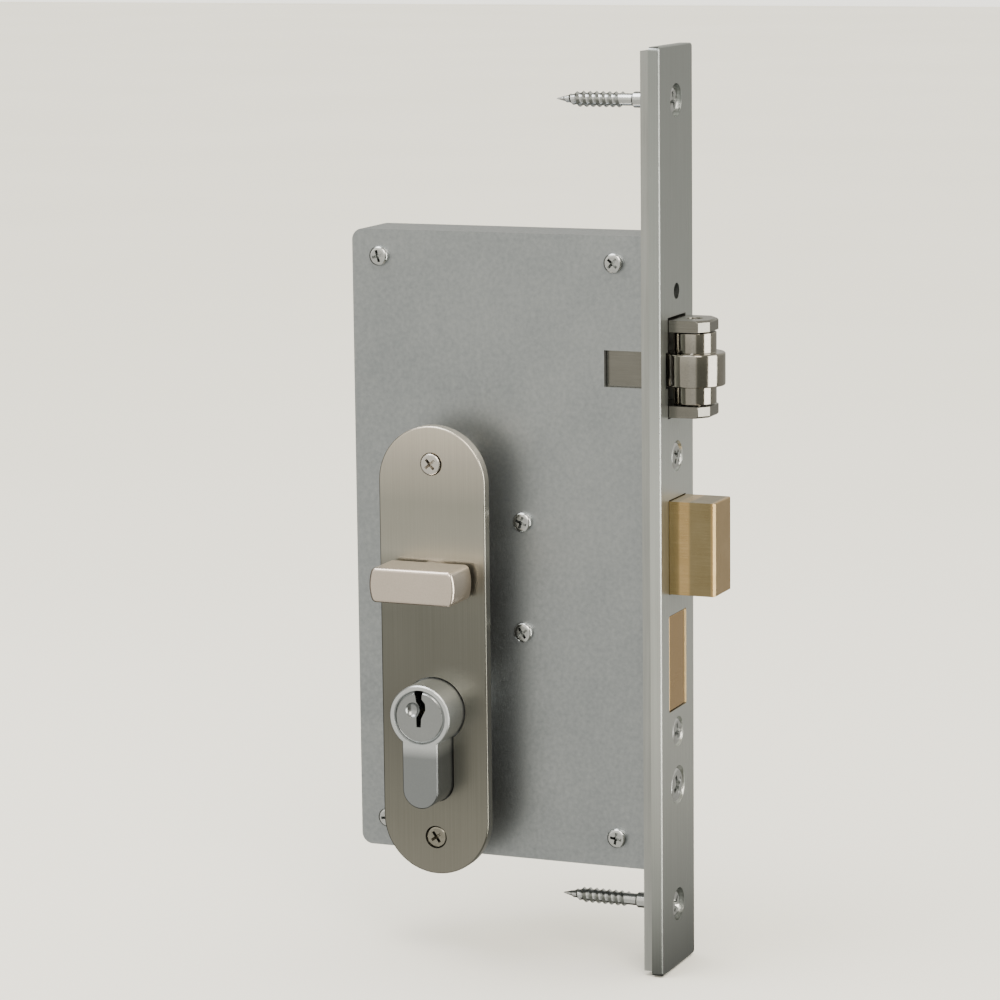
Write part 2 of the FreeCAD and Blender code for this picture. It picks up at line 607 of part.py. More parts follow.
def front_escutcheon():
    y0, y1 = -FACE - ESC_T, -FACE
    plate = escutcheon_blank(y0, y1, y0)
    cuts = [rod(NECK_R + FORK, (-BACKSET, y0 - 1, CENTRES), (-BACKSET, y1 + 1, CENTRES)),
            rod(CLIP_OUT + 0.4, (-BACKSET, CLIP[0] - 0.3, CENTRES), (-BACKSET, y1 + 1, CENTRES))]
    for sign in (-1, 1):
        z = ESC_Z + sign * ESC_SCREW
        cuts += [rod(ESC_HEAD_R + 0.2, (-BACKSET, y0 - 1, z), (-BACKSET, y0 + 0.6, z)),
                 cone(ESC_HEAD_R + 0.2, 2.1, (-BACKSET, y0 + 0.6, z), (-BACKSET, y0 + 1.7, z)),
                 rod(2.1, (-BACKSET, y0 - 1, z), (-BACKSET, y1 + 1, z))]
    return plate.cut(cuts)


def rear_escutcheon():
    y0, y1 = FACE, FACE + ESC_T
    plate = escutcheon_blank(y0, y1, y1)
    heights = [ESC_Z + sign * ESC_SCREW for sign in (-1, 1)]
    return plate.cut([rod(POST_R, (-BACKSET, y0 - 1, z), (-BACKSET, y0 + 2.0, z)) for z in heights])


def escutcheon_posts():
    """Threaded posts set in the rear plate; the front plate's screws draw on them through the door."""
    made = []
    for sign in (-1, 1):
        z = ESC_Z + sign * ESC_SCREW
        post = rod(POST_R, (-BACKSET, -13.0, z), (-BACKSET, FACE + 2.0, z))
        bore = rod(2.0, (-BACKSET, -14.0, z), (-BACKSET, 8.0, z))
        made.append(post.cut(bore))
    return made


def escutcheon_screws():
    """The two screws that draw the plates together."""
    made = []
    for sign, proud in ESC_PROUD.items():
        head = V(-BACKSET, -FACE - ESC_T - proud, ESC_Z + sign * ESC_SCREW)
        made.append(countersunk_screw(head, V(0, 1, 0), ESC_SHANK_R, ESC_HEAD_R, ESC_LENGTH))
    return made


def main():
    os.makedirs("parts", exist_ok=True)
    export("faceplate", faceplate())
    export("inner_forend", inner_forend())
    export("case_tray", case_tray())
    export("case_cover", case_cover())
    export("case_pillars", *case_pillars())
    export("cover_screws", *cover_screws())
    faceplate_screws()
    upper_bolt()
    lower_bolt()
    export("tail_spring", tail_spring())
    export("hub", hub())
    export("turn_knob", turn_knob())
    export("turn_clip", turn_clip())
    export("spindle", spindle())
    export("roller_carriage", roller_carriage())
    export("roller", roller())
    export("roller_axle", roller_axle())
    export("guide_rod", guide_rod())
    export("spring_stop", spring_stop())
    export("roller_spring", coil(SPRING_R, SPRING_WIRE, CARRIAGE_BACK - SPRING_BACK, 6,
                                 (SPRING_BACK, 0, ROLLER_Z), (1, 0, 0)))
    export("adjusting_block", adjusting_block())
    export("adjusting_screw", adjusting_screw())
    export("cylinder_body", cylinder_body())
    export("front_plug", plug(-1))
    export("rear_plug", plug(1))
    export("front_circlip", circlip(-1))
    export("rear_circlip", circlip(1))
    export("cylinder_cam", cylinder_cam())
    export("cam_clutch", cam_clutch())
    pins()
    export("front_escutcheon", front_escutcheon())
    export("rear_escutcheon", rear_escutcheon())
    export("escutcheon_posts", *escutcheon_posts())
    export("escutcheon_screws", *escutcheon_screws())


main()
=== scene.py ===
"""Looks of a mortise lock set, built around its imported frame.

Everything is in metres. X = 0 is the faceplate's outer face, -Y is the side with the turn, Z = 0 is the
key cylinder's axis.
"""

import json
import logging
import math
from dataclasses import dataclass, field
from enum import Enum
from typing import Callable, Sequence

import bmesh
import bpy
from mathutils import Matrix, Vector


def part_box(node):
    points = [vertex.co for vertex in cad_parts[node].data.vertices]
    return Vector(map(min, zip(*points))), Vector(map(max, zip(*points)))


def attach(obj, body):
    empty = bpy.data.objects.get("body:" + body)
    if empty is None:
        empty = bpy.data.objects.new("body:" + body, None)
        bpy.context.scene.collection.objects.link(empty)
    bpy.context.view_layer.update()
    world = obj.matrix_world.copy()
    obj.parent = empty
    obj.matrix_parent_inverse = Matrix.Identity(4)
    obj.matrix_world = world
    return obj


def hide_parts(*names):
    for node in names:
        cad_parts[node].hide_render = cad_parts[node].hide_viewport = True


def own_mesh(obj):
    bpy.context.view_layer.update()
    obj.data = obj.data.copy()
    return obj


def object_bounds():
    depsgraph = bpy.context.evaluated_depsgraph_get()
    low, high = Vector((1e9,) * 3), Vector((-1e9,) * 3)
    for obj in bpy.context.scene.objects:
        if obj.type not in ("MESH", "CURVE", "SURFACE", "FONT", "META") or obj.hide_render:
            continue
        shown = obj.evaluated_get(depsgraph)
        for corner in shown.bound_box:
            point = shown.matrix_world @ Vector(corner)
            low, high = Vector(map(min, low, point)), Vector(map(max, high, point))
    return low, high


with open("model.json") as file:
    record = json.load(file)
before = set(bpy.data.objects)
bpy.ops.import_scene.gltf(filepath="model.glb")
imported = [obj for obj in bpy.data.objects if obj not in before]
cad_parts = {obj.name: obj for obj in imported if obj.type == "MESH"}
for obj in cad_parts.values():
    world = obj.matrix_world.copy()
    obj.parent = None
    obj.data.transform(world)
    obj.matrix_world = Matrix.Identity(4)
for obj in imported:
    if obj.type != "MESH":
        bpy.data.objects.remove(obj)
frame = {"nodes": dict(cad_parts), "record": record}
CAD_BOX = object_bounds()
log = logging.getLogger("mortise_lock")

MM = 0.001
THREAD_FOOT = 0.42  # half of a thread's foot, as a share of its pitch
THREAD_DEPTH = 0.45  # a machine thread's depth, as a share of its pitch
WOOD_THREAD = 0.62  # the depth of a wood screw's thread, as a share of a machine thread's
SHARP = math.radians(28)  # an edge is sharp, and may be rounded, above this angle
RECESS_REACH, RECESS_WIDTH, RECESS_DEPTH = 0.62, 0.27, 0.75  # a cross recess, in shares of the head's radius
LINES_IN_TONE = 0.65  # how much of a finish's tone comes from its tool marks, the rest from slow clouds
ON_FACE = 1e-5  # how near a vertex lies to the face that it belongs to
WELD = 2e-6  # vertices nearer than this are one


# ---- colours and node helpers ---------------------------------------------------


def linear(code: str) -> tuple[float, float, float, float]:
    """Turns an sRGB hex colour into linear RGBA.

    Args:
        code: Six hex digits, with or without a leading hash.

    Returns:
        Linear red, green, blue and an alpha of 1.
    """
    digits = code.lstrip("#")
    values = [int(digits[i : i + 2], 16) / 255 for i in (0, 2, 4)]
    red, green, blue = (v / 12.92 if v <= 0.04045 else ((v + 0.055) / 1.055) ** 2.4 for v in values)
    return red, green, blue, 1.0


def add_node(tree: bpy.types.NodeTree, kind: str, links: dict | None = None, **settings) -> bpy.types.Node:
    """Adds one node with its settings and links.

    Args:
        tree: The node tree to add to.
        kind: The node's type, without its ShaderNode prefix.
        links: Input name or number to the output socket that feeds it, or to a constant.
        **settings: Attributes set on the node itself.

    Returns:
        The new node.
    """
    node = tree.nodes.new("ShaderNode" + kind)
    for name, value in settings.items():
        setattr(node, name, value)
    for name, value in (links or {}).items():
        if isinstance(value, bpy.types.NodeSocket):
            tree.links.new(value, node.inputs[name])
        else:
            node.inputs[name].default_value = value
    return node


def ramp(tree: bpy.types.NodeTree, factor: bpy.types.NodeSocket,
         stops: Sequence[tuple[float, str]]) -> bpy.types.NodeSocket:
    """Adds a colour ramp.

    Args:
        tree: The node tree to add to.
        factor: What drives the ramp.
        stops: Positions from 0 to 1, each with its hex colour.

    Returns:
        The ramp's colour output.
    """
    node = add_node(tree, "ValToRGB", {"Fac": factor})
    band = node.color_ramp
    while len(band.elements) < len(stops):
        band.elements.new(0.5)
    for element, (place, code) in zip(band.elements, stops):
        element.position = place
        element.color = linear(code)
    return node.outputs["Color"]


class Grain(Enum):
    """Which way the surface was worked."""

    ALONG_X = (1.0, 0.0, 0.0)
    ALONG_Y = (0.0, 1.0, 0.0)
    ALONG_Z = (0.0, 0.0, 1.0)
    NONE = (0.0, 0.0, 0.0)


@dataclass(frozen=True)
class MetalFinish:
    """A worked metal surface: two tones, lines left by the tool and a slow unevenness.

    Attributes:
        name: The material's name, after what the real one is.
        light: Hex colour of the brighter tone.
        dark: Hex colour of the darker tone.
        roughness: Middle roughness.
        unevenness: How far the roughness swings each way.
        grain: Which way the tool marks run.
        line_mm: Width and length of a tool mark.
        line_depth_mm: Height of the marks.
        cloud_mm: Size of the slow unevenness.
        anisotropy: How far the gloss is drawn out across the marks.
        fade: Places in metres along one axis with the painted light that the surface has there, a tint of
            painted reflection, highlight and shade, or none.
        fade_axis: The axis that the painted tint follows.
    """

    name: str
    light: str
    dark: str
    roughness: float
    unevenness: float = 0.06
    grain: Grain = Grain.NONE
    line_mm: tuple[float, float] = (0.5, 30.0)
    line_depth_mm: float = 0.01
    cloud_mm: float = 14.0
    anisotropy: float = 0.0
    fade: tuple[tuple[float, str], ...] = ()
    fade_axis: str = "Z"

    def build(self) -> bpy.types.Material:
        """Makes the material, or returns the one already made.

        Returns:
            The material under this finish's name.
        """
        if self.name in bpy.data.materials:
            return bpy.data.materials[self.name]
        material = bpy.data.materials.new(self.name)
        material.use_nodes = True
        tree = material.node_tree
        shader = tree.nodes["Principled BSDF"]
        shader.inputs["Metallic"].default_value = 1.0
        place = add_node(tree, "TexCoord").outputs["Object"]
        lines = self._lines(tree, place)
        clouds = add_node(tree, "TexNoise", {"Vector": place, "Scale": 1.0 / (self.cloud_mm * MM),
                                             "Detail": 3.0})
        tone = add_node(tree, "Mix", {0: LINES_IN_TONE, 2: clouds.outputs["Fac"], 3: lines})
        colour = ramp(tree, tone.outputs[0], ((0.3, self.dark), (0.7, self.light)))
        # painted light: the tint along one axis paints reflections, highlights and shade into the colour
        colour = self._faded(tree, place, colour)
        tree.links.new(colour, shader.inputs["Base Color"])
        low, high = self.roughness - self.unevenness, self.roughness + self.unevenness
        gloss = add_node(tree, "MapRange", {"Value": tone.outputs[0], "From Min": 0.25, "From Max": 0.75,
                                            "To Min": high, "To Max": low})
        tree.links.new(gloss.outputs["Result"], shader.inputs["Roughness"])
        bump = add_node(tree, "Bump", {"Height": lines, "Distance": self.line_depth_mm * MM, "Strength": 0.6})
        tree.links.new(bump.outputs["Normal"], shader.inputs["Normal"])
        if self.anisotropy:
            shader.inputs["Anisotropic"].default_value = self.anisotropy
        return material

    def _lines(self, tree: bpy.types.NodeTree, place: bpy.types.NodeSocket) -> bpy.types.NodeSocket:
        """Adds the tool marks: a noise drawn out along the grain.

        Args:
            tree: The node tree to add to.
            place: Object coordinates.

        Returns:
            A value from 0 to 1.
        """
        across, along = self.line_mm
        if self.grain is Grain.NONE:
            along = across
        sizes = [along if axis else across for axis in self.grain.value]
        stretched = add_node(tree, "Mapping", {"Vector": place, "Scale": [1.0 / (s * MM) for s in sizes]})
        noise = add_node(tree, "TexNoise", {"Vector": stretched.outputs["Vector"], "Scale": 1.0,
                                            "Detail": 4.0, "Roughness": 0.6})
        return noise.outputs["Fac"]

    def _faded(self, tree: bpy.types.NodeTree, place: bpy.types.NodeSocket,
               colour: bpy.types.NodeSocket) -> bpy.types.NodeSocket:
        """Tints the colour along one axis with painted light: painted reflections, highlights and shade that
        change along it.

        Args:
            tree: The node tree to add to.
            place: Object coordinates.
            colour: The colour so far.

        Returns:
            The tinted colour.
        """
        if not self.fade:
            return colour
        low, high = self.fade[0][0], self.fade[-1][0]
        along = add_node(tree, "SeparateXYZ", {"Vector": place}).outputs[self.fade_axis]
        share = add_node(tree, "MapRange", {"Value": along, "From Min": low, "From Max": high})
        stops = [((at - low) / (high - low), code) for at, code in self.fade]
        tint = ramp(tree, share.outputs["Result"], stops)
        mixed = add_node(tree, "Mix", {0: 1.0, 6: colour, 7: tint}, data_type="RGBA", blend_type="MULTIPLY")
        return mixed.outputs[2]


# The tints along an axis are painted light: painted reflections and painted shade that give the slow change
# of tone each long face shows from end to end. Tool marks finer than the render can show are drawn a few
# tenths of a millimetre wide.

# Cold-rolled stainless strip, brushed along its length with a 180 grit belt: fine upright lines and a soft
# gloss. Its tint along its height is a painted reflection, brightest just above the middle and duller towards
# both ends.
SATIN_STAINLESS = MetalFinish("brushed_stainless_strip", "#e4e6e2", "#cdcfcb", 0.3, 0.05, Grain.ALONG_Z,
                              (0.35, 60.0), 0.003, 22.0, 0.3,
                              ((-0.0695, "#767878"), (-0.05, "#bcbebe"), (-0.02, "#ecedec"), (0.0, "#f6f7f6"),
                               (0.06, "#fafcfd"), (0.1, "#d2d5d6"), (0.1735, "#bfc2c3")))
# The same strip as it leaves the mill, for the inner forend: unbrushed and duller.
MILL_STAINLESS = MetalFinish("mill_stainless_strip", "#b9bbb8", "#a2a4a1", 0.42, 0.05, Grain.ALONG_Z,
                             (0.8, 30.0), 0.004, 18.0)
# Nickel plate linished upright: warm, with fine upright lines. Its tint along the height is painted light: a
# painted highlight palest at the top and painted shade darkest under the turn.
SATIN_NICKEL = MetalFinish("linished_nickel_plate", "#f2eee6", "#dfdbd3", 0.3, 0.04, Grain.ALONG_Z,
                           (0.3, 50.0), 0.003, 18.0, 0.3,
                           ((-0.0445, "#a0a09b"), (-0.025, "#949590"), (0.0, "#838480"), (0.025, "#8a8c88"),
                            (0.036, "#959692"), (0.042, "#c4c5c0"), (0.055, "#bfc0bb"), (0.066, "#dedbd5"),
                            (0.0755, "#fff9f0")))
# The rear plate, linished the same way, with no turn on it. Its milder tint along the height is painted
# light, darker in the middle and palest at the top.
REAR_NICKEL = MetalFinish("linished_rear_plate", "#f2eee6", "#dfdbd3", 0.3, 0.04, Grain.ALONG_Z,
                          (0.3, 50.0), 0.003, 18.0, 0.3,
                          ((-0.0445, "#c9c7c0"), (0.01, "#bdbcb6"), (0.0755, "#e6e2da")))
# Bar stock, nickel plated after blasting: no lines, soft warm gloss.
TURN_NICKEL = MetalFinish("blasted_nickel_bar", "#f0e2d4", "#e0d2c4", 0.3, 0.04, Grain.NONE,
                          (0.4, 0.4), 0.0015, 9.0)
# Brass plug, satin chrome plated: cool grey with a silky gloss.
SATIN_CHROME = MetalFinish("satin_chrome_plate", "#aeb1b2", "#a3a6a7", 0.25, 0.02, Grain.NONE,
                           (0.3, 0.3), 0.0003, 8.0)
# The same plating on the cylinder's body, softer. Its tint along the height is painted light: bright round
# the plug, with a darker painted reflection on the tail below it.
BODY_CHROME = MetalFinish("satin_chrome_body", "#e6e9ea", "#dadddd", 0.34, 0.02, Grain.NONE,
                          (0.3, 0.3), 0.0003, 8.0, 0.0,
                          ((-0.0245, "#a8aaac"), (-0.011, "#a8aaac"), (-0.008, "#f6f7f8"), (0.01, "#ffffff")))
# Hardened steel turned and polished: near mirror.
TURNED_STEEL = MetalFinish("turned_polished_steel", "#aaa69d", "#98948b", 0.13, 0.03, Grain.NONE,
                           (0.35, 0.35), 0.0006, 10.0)
# The carriage, ground and tumbled: darker and softer than its roller.
GROUND_STEEL = MetalFinish("ground_carriage_steel", "#918f88", "#7f7d76", 0.22, 0.04, Grain.ALONG_X,
                           (0.25, 6.0), 0.001, 8.0)
# Free-cutting brass, milled on its sides: fine lines along the bolt. Its tint along the bolt is painted
# reflection: olive bands, a paler band 3 to 5 mm out from the faceplate and a painted highlight on the nose.
THROWN_BRASS = MetalFinish("milled_brass_thrown", "#fff6e6", "#dccfb4", 0.25, 0.05, Grain.ALONG_X,
                           (0.22, 7.0), 0.004, 5.0, 0.2,
                           ((0.0, "#b5a682"), (0.0024, "#b0a17c"), (0.003, "#ddc59a"), (0.0052, "#d9c196"),
                            (0.0059, "#a39a80"), (0.0112, "#a0977d"), (0.0119, "#dcc294"),
                            (0.0126, "#d6c09a")), "X")
# The same brass on the bolt that stands flush: its tint is a painted highlight on the nose alone, with an
# olive painted reflection behind it.
DRAWN_BRASS = MetalFinish("milled_brass_withdrawn", "#fff6e6", "#eadfc8", 0.25, 0.05, Grain.ALONG_X,
                          (0.3, 7.0), 0.004, 6.0, 0.2,
                          ((-0.002, "#a39a80"), (-0.0009, "#dcc294"), (-0.0002, "#d2b68c")), "X")
# Mild steel sheet, zinc plated: blue-grey with slow clouds.
ZINC_SHEET = MetalFinish("zinc_plated_sheet", "#b4b8ba", "#989da0", 0.38, 0.07, Grain.NONE,
                         (1.2, 1.2), 0.004, 16.0)
# Bright zinc plated screw steel: glossy.
ZINC_SCREW = MetalFinish("bright_zinc_screw", "#dadcdb", "#c2c4c3", 0.2, 0.05, Grain.NONE,
                         (0.4, 0.4), 0.002, 5.0)
# Nickel plated escutcheon screw: soft gloss, as warm as its plate.
NICKEL_SCREW = MetalFinish("nickel_plated_screw", "#e6e1da", "#d6d1ca", 0.28, 0.04, Grain.NONE,
                           (0.4, 0.4), 0.001, 5.0)
# The same screw in a darker, greyer tone: painted shade for the lower head, which sits sunk in its hole.
SHADED_SCREW = MetalFinish("shaded_nickel_screw", "#a9a599", "#8a867a", 0.24, 0.05, Grain.NONE,
                         (0.5, 0.5), 0.003, 3.0)
# Oiled spring wire: dark and smooth.
SPRING_WIRE = MetalFinish("oiled_spring_wire", "#6f7276", "#54575b", 0.3, 0.05, Grain.NONE,
                          (0.4, 0.4), 0.003, 4.0)
# Turned brass pins: clean and yellow.
TURNED_BRASS = MetalFinish("turned_brass_pin", "#dcc080", "#c4a66a", 0.25, 0.04, Grain.NONE,
                           (0.3, 0.3), 0.003, 4.0)

FINISH_OF_SLOT = {
    "satin_stainless": SATIN_STAINLESS,
    "satin_nickel": SATIN_NICKEL,
    "satin_chrome": SATIN_CHROME,
    "polished_steel": TURNED_STEEL,
    "solid_brass": THROWN_BRASS,
    "zinc_steel": ZINC_SCREW,
    "case_steel": ZINC_SHEET,
    "spring_steel": SPRING_WIRE,
    "pin_brass": TURNED_BRASS,
}
FINISH_OF_NODE = {
    "turn_knob": TURN_NICKEL,
    "rear_escutcheon": REAR_NICKEL,
    "inner_forend": MILL_STAINLESS,
    "upper_bolt": THROWN_BRASS,
    "lower_bolt": DRAWN_BRASS,
    "cylinder_body": BODY_CHROME,
    "roller_carriage": GROUND_STEEL,
}


def dress(piece: bpy.types.Object, finish: MetalFinish) -> None:
    """Gives a piece one finish in all its material slots.

    Args:
        piece: The piece to dress.
        finish: Its finish.
    """
    material = finish.build()
    if not piece.data.materials:
        piece.data.materials.append(material)
    for place in range(len(piece.data.materials)):
        piece.data.materials[place] = material


def dress_frame() -> None:
    """Gives every carried-over node the finish of its material slot."""
    for part in frame["record"]["subparts"]:
        finish = FINISH_OF_NODE.get(part["node"], FINISH_OF_SLOT[part["material_slot"]])
        dress(frame["nodes"][part["node"]], finish)
        log.info("dressed %s in %s", part["node"], finish.name)


# ---- modelling by hand ------------------------------------------------------------


def start_clean() -> None:
    """Leaves edit mode and deselects everything."""
    if bpy.context.object and bpy.context.object.mode != "OBJECT":
        bpy.ops.object.mode_set(mode="OBJECT")
    bpy.ops.object.select_all(action="DESELECT")


def pick(piece: bpy.types.Object) -> None:
    """Selects one piece alone and makes it active.

    Args:
        piece: The piece to select.
    """
    start_clean()
    piece.select_set(True)
    bpy.context.view_layer.objects.active = piece


def in_edit(piece: bpy.types.Object) -> bmesh.types.BMesh:
    """Opens a piece in edit mode with nothing selected.

    Args:
        piece: The piece to shape.

    Returns:
        Its mesh under edit.
    """
    pick(piece)
    bpy.ops.object.mode_set(mode="EDIT")
    bpy.ops.mesh.select_all(action="DESELECT")
    return bmesh.from_edit_mesh(piece.data)


def apply_modifiers(piece: bpy.types.Object) -> None:
    """Applies every modifier on a piece.

    Args:
        piece: The piece whose modifiers are applied.
    """
    pick(piece)
    for modifier in list(piece.modifiers):
        bpy.ops.object.modifier_apply(modifier=modifier.name)


def lathe(name: str, profile: Sequence[tuple[float, float]], sides: int = 96) -> bpy.types.Object:
    """Turns a solid on its axis: a circle extruded and resized along a profile, its ends filled.

    Args:
        name: The piece's name.
        profile: Radius and height in metres of each ring, from the foot up.
        sides: Corners of each ring.

    Returns:
        The solid, on the Z axis.
    """
    start_clean()
    radius, height = profile[0]
    bpy.ops.mesh.primitive_circle_add(vertices=sides, radius=radius, fill_type="NGON",
                                      location=(0, 0, height))
    piece = bpy.context.object
    piece.name = name
    bpy.ops.object.transform_apply(location=True, rotation=True, scale=True)
    bpy.ops.object.mode_set(mode="EDIT")
    bpy.ops.mesh.select_all(action="SELECT")
    for next_radius, next_height in profile[1:]:
        bpy.ops.mesh.extrude_region_move(TRANSFORM_OT_translate={"value": (0, 0, next_height - height)})
        share = next_radius / radius
        bpy.ops.transform.resize(value=(share, share, 1.0), center_override=(0, 0, next_height))
        radius, height = next_radius, next_height
    bpy.ops.mesh.select_all(action="SELECT")
    bpy.ops.mesh.normals_make_consistent(inside=False)
    bpy.ops.object.mode_set(mode="OBJECT")
    return piece


def rounded(radius: float, height: float, corner: float, up: bool,
            steps: int = 5) -> list[tuple[float, float]]:
    """Gives the profile points of a rounded rim.

    Args:
        radius: Outer radius.
        height: Height of the end face.
        corner: Radius of the rounding.
        up: True if the end face is the upper end.
        steps: Points on the rounding.

    Returns:
        Radius and height of each point, from the foot up.
    """
    sign = 1 if up else -1
    turns = [math.radians(90 * i / (steps - 1)) for i in range(steps)]
    points = [(radius - corner + corner * math.cos(a), height + sign * corner * (math.sin(a) - 1))
              for a in turns]
    return points if up else points[::-1]


def helix_ridge(name: str, core: float, crest: float, start: float, end: float, pitch: float,
                steps: int = 28) -> bpy.types.Object:
    """Winds one thread: a triangle screwed round the Z axis.

    Args:
        name: The piece's name.
        core: Radius of the thread's root, sunk a little into the shank.
        crest: Radius of the thread's edge.
        start: Height of the first turn.
        end: Height of the last turn.
        pitch: Distance between turns.
        steps: Steps per turn.

    Returns:
        The ridge as a closed solid.
    """
    start_clean()
    bpy.ops.mesh.primitive_circle_add(vertices=3, radius=1.0, fill_type="NOTHING")
    piece = bpy.context.object
    piece.name = name
    mesh = in_edit(piece)
    foot = THREAD_FOOT * pitch
    corners = ((core, -foot), (crest, 0.0), (core, foot))
    for vert, (radius, rise) in zip(mesh.verts, corners):
        vert.co = Vector((radius, 0.0, start + rise))
    bmesh.update_edit_mesh(piece.data)
    bpy.ops.object.mode_set(mode="OBJECT")
    screw = piece.modifiers.new("thread", "SCREW")
    screw.axis = "Z"
    screw.angle = 2 * math.pi
    screw.iterations = max(1, int((end - start) / pitch))
    screw.screw_offset = pitch
    screw.steps = screw.render_steps = steps
    apply_modifiers(piece)
    in_edit(piece)
    bpy.ops.mesh.select_all(action="SELECT")
    bpy.ops.mesh.fill_holes(sides=3)
    bpy.ops.mesh.select_all(action="SELECT")
    bpy.ops.mesh.normals_make_consistent(inside=False)
    bpy.ops.object.mode_set(mode="OBJECT")
    return piece


def subtract(piece: bpy.types.Object, tools: Sequence[bpy.types.Object]) -> None:
    """Cuts tools out of a piece and removes them.

    Args:
        piece: The piece to cut.
        tools: The solids whose shapes are cut out of it.
    """
    for tool in tools:
        cut = piece.modifiers.new("cut", "BOOLEAN")
        cut.operation = "DIFFERENCE"
        cut.solver = "EXACT"
        cut.object = tool
    apply_modifiers(piece)
    for tool in tools:
        bpy.data.objects.remove(tool)


def join(name: str, parts: Sequence[bpy.types.Object]) -> bpy.types.Object:
    """Joins several solids into one piece.

    Args:
        name: The joined piece's name.
        parts: The solids to join.

    Returns:
        The joined piece.
    """
    start_clean()
    for part in parts:
        part.select_set(True)
    bpy.context.view_layer.objects.active = parts[0]
    if len(parts) > 1:
        bpy.ops.object.join()
    parts[0].name = name
    return parts[0]


def put(piece: bpy.types.Object, point: Vector, direction: Vector, spin: float = 0.0) -> None:
    """Moves a piece from the Z axis to its place, in its mesh.

    Args:
        piece: The piece, modelled on the Z axis with its head at the top.
        point: Where its origin goes.
        direction: Where its +Z goes.
        spin: Degrees it is turned on its own axis.
    """
    pick(piece)
    aimed = direction.to_track_quat("Z", "X").to_matrix().to_4x4()
    turned = aimed @ Matrix.Rotation(math.radians(spin), 4, "Z")
    piece.matrix_world = Matrix.Translation(point) @ turned
    bpy.ops.object.transform_apply(location=True, rotation=True, scale=True)


def finish_piece(piece: bpy.types.Object, body: str, node: str, finish: MetalFinish,
                 smooth: float = 32.0, keep_flats: bool = False) -> None:
    """Smooths a piece, dresses it and ties it to its body.

    Args:
        piece: The finished mesh.
        body: The body it rides on.
        node: The CAD node it stands for.
        finish: Its finish.
        smooth: Angle in degrees below which edges are shaded smooth.
        keep_flats: Shades large flat faces truly flat, so that only the rounded edges between them bend.
    """
    pick(piece)
    bpy.ops.object.shade_smooth_by_angle(angle=math.radians(smooth))
    if keep_flats:
        weights = piece.modifiers.new("weights", "WEIGHTED_NORMAL")
        weights.mode = "FACE_AREA"
        weights.weight = 100
        weights.keep_sharp = True
        apply_modifiers(piece)
    dress(piece, finish)
    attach(piece, body)
    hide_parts(node)
    log.info("modelled %s for %s: %d faces", piece.name, node, len(piece.data.polygons))


def bevel(piece: bpy.types.Object, chosen: Callable[[bmesh.types.BMEdge], bool], width: float,
          segments: int = 3) -> None:
    """Rounds the chosen sharp edges of a piece.

    Args:
        piece: The piece to shape.
        chosen: Says whether a sharp edge is rounded.
        width: Width of the rounding.
        segments: Steps across it.
    """
    mesh = in_edit(piece)
    bpy.ops.mesh.select_mode(type="EDGE")
    for edge in mesh.edges:
        sharp = len(edge.link_faces) == 2 and edge.calc_face_angle(0.0) > SHARP
        edge.select_set(sharp and chosen(edge))
    bmesh.update_edit_mesh(piece.data)
    bpy.ops.mesh.bevel(offset=width, segments=segments, affect="EDGES", clamp_overlap=True)
    bpy.ops.mesh.select_mode(type="VERT")
    bpy.ops.object.mode_set(mode="OBJECT")


def cast(node: str) -> bpy.types.Object:
    """Takes a merged copy of a CAD node, its flat faces made whole.

    Args:
        node: The CAD node.

    Returns:
        The copy, ready to shape.
    """
    piece = bpy.data.objects.new(node + "_eased", frame["nodes"][node].data.copy())
    bpy.context.scene.collection.objects.link(piece)
    in_edit(piece)
    bpy.ops.mesh.select_all(action="SELECT")
    bpy.ops.mesh.remove_doubles(threshold=WELD)
    bpy.ops.mesh.dissolve_limited(angle_limit=math.radians(0.6), delimit={"NORMAL"})
    bpy.ops.object.mode_set(mode="OBJECT")
    return piece


def recess_blades(reach: float, width: float, depth: float, top: float) -> list[bpy.types.Object]:
    """Makes the two tapered blades that cut a cross recess.

    Args:
        reach: Half of the cross's span.
        width: Width of one arm.
        depth: Depth of the recess.
        top: Height of the head's face.

    Returns:
        Two blades at right angles and the small cone between them.
    """
    blades = []
    spill = 0.2 * MM
    for turn in (0.0, math.pi / 2):
        start_clean()
        bpy.ops.mesh.primitive_cube_add(size=1.0, location=(0, 0, top - depth / 2 + spill / 2))
        blade = bpy.context.object
        blade.scale = (2 * reach, width, depth + spill)
        blade.rotation_euler = (0, 0, turn)
        bpy.ops.object.transform_apply(location=True, rotation=True, scale=True)
        mesh = in_edit(blade)
        for face in mesh.faces:
            face.select_set(face.normal.z < -0.9)
        bmesh.update_edit_mesh(blade.data)
        narrow = (0.45, 0.7, 1.0) if turn == 0.0 else (0.7, 0.45, 1.0)
        bpy.ops.transform.resize(value=narrow, center_override=(0, 0, top - depth))
        bpy.ops.object.mode_set(mode="OBJECT")
        blades.append(blade)
    centre = lathe("centre", [(0.3 * width, top - depth * 1.12), (0.85 * width, top + spill)], 20)
    return blades + [centre]


class Head(Enum):
    """The shapes of screw head used in the lock."""

    COUNTERSUNK = "countersunk"
    PAN = "pan"


